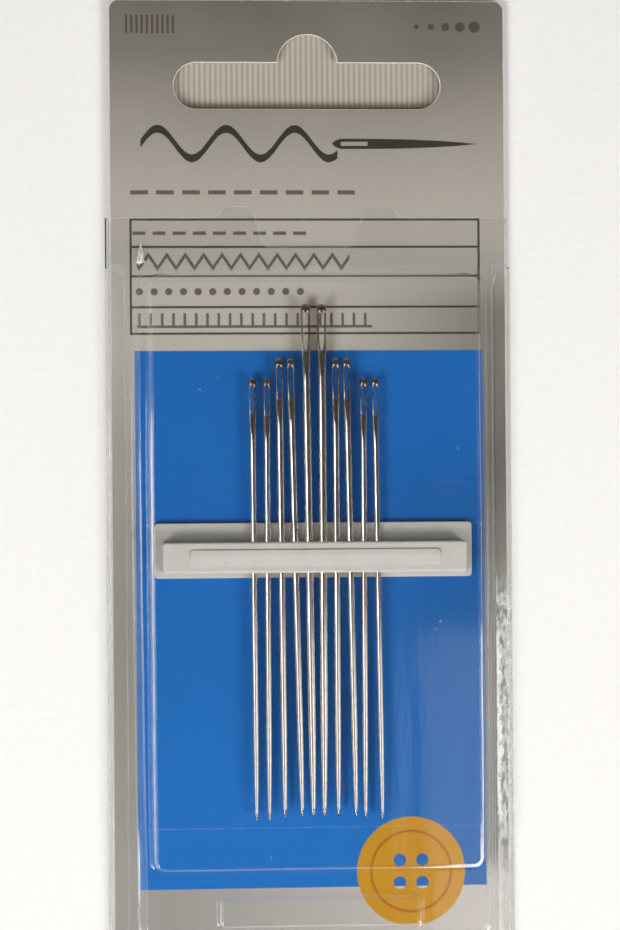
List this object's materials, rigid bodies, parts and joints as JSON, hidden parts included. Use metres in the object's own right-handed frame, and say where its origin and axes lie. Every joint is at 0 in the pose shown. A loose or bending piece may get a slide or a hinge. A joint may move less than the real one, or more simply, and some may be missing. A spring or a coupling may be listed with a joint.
{
  "type": "carded hand needle pack",
  "caption": "Hanging card of hand needles in graded thicknesses, held side by side by a grooved white bar under a hinged clear moulded cover.",
  "frame": {"origin": "centre of the pack's outline on its back face, which lies on the surface", "axes": "+X to the right of the printed face, +Y up the card towards the hang slot, +Z out of the printed face"},
  "size_m": [0.0486, 0.12, 0.0063],
  "materials": {
    "clear_plastic": "gloss",
    "printed_card": "satin",
    "white_plastic": "satin",
    "needle_steel": "polished"
  },
  "bodies": {
    "pack_body": {"back_tray": "clear_plastic", "backing_card": "printed_card", "holder_base": "white_plastic", "clamp_bar": "white_plastic", "living_hinge": "clear_plastic"},
    "cover": {"clear_cover": "clear_plastic"},
    "needle_01": {"needle_01_fine": "needle_steel"},
    "needle_02": {"needle_02_fine": "needle_steel"},
    "needle_03": {"needle_03_medium": "needle_steel"},
    "needle_04": {"needle_04_medium": "needle_steel"},
    "needle_05": {"needle_05_coarse": "needle_steel"},
    "needle_06": {"needle_06_coarse": "needle_steel"},
    "needle_07": {"needle_07_medium": "needle_steel"},
    "needle_08": {"needle_08_medium": "needle_steel"},
    "needle_09": {"needle_09_fine": "needle_steel"},
    "needle_10": {"needle_10_fine": "needle_steel"}
  },
  "joints": [
    {"name": "cover_hinge", "type": "hinge", "parent": "pack_body", "child": "cover", "pos_m": [0, -0.05955, 0.0007], "axis": [1, 0, 0], "range_deg": [0, 150]},
    {"name": "needle_01_slide", "type": "slide", "parent": "pack_body", "child": "needle_01", "axis": [-0.0032, 1, 0], "range_m": [-0.0045, 0.0106]},
    {"name": "needle_02_slide", "type": "slide", "parent": "pack_body", "child": "needle_02", "axis": [0, 1, 0], "range_m": [-0.0045, 0.0106]},
    {"name": "needle_03_slide", "type": "slide", "parent": "pack_body", "child": "needle_03", "axis": [-0.0065, 1, 0], "range_m": [-0.0045, 0.0084]},
    {"name": "needle_04_slide", "type": "slide", "parent": "pack_body", "child": "needle_04", "axis": [-0.0199, 0.9998, 0], "range_m": [-0.0045, 0.0084]},
    {"name": "needle_05_slide", "type": "slide", "parent": "pack_body", "child": "needle_05", "axis": [-0.0096, 1, 0], "range_m": [-0.0045, 0.002]},
    {"name": "needle_06_slide", "type": "slide", "parent": "pack_body", "child": "needle_06", "axis": [0.0009, 1, 0], "range_m": [-0.0045, 0.002]},
    {"name": "needle_07_slide", "type": "slide", "parent": "pack_body", "child": "needle_07", "axis": [0, 1, 0], "range_m": [-0.0045, 0.0084]},
    {"name": "needle_08_slide", "type": "slide", "parent": "pack_body", "child": "needle_08", "axis": [-0.0149, 0.9999, 0], "range_m": [-0.0045, 0.0084]},
    {"name": "needle_09_slide", "type": "slide", "parent": "pack_body", "child": "needle_09", "axis": [0.0012, 1, 0], "range_m": [-0.0045, 0.0106]},
    {"name": "needle_10_slide", "type": "slide", "parent": "pack_body", "child": "needle_10", "axis": [-0.0108, 0.9999, 0], "range_m": [-0.0045, 0.0106]}
  ]
}
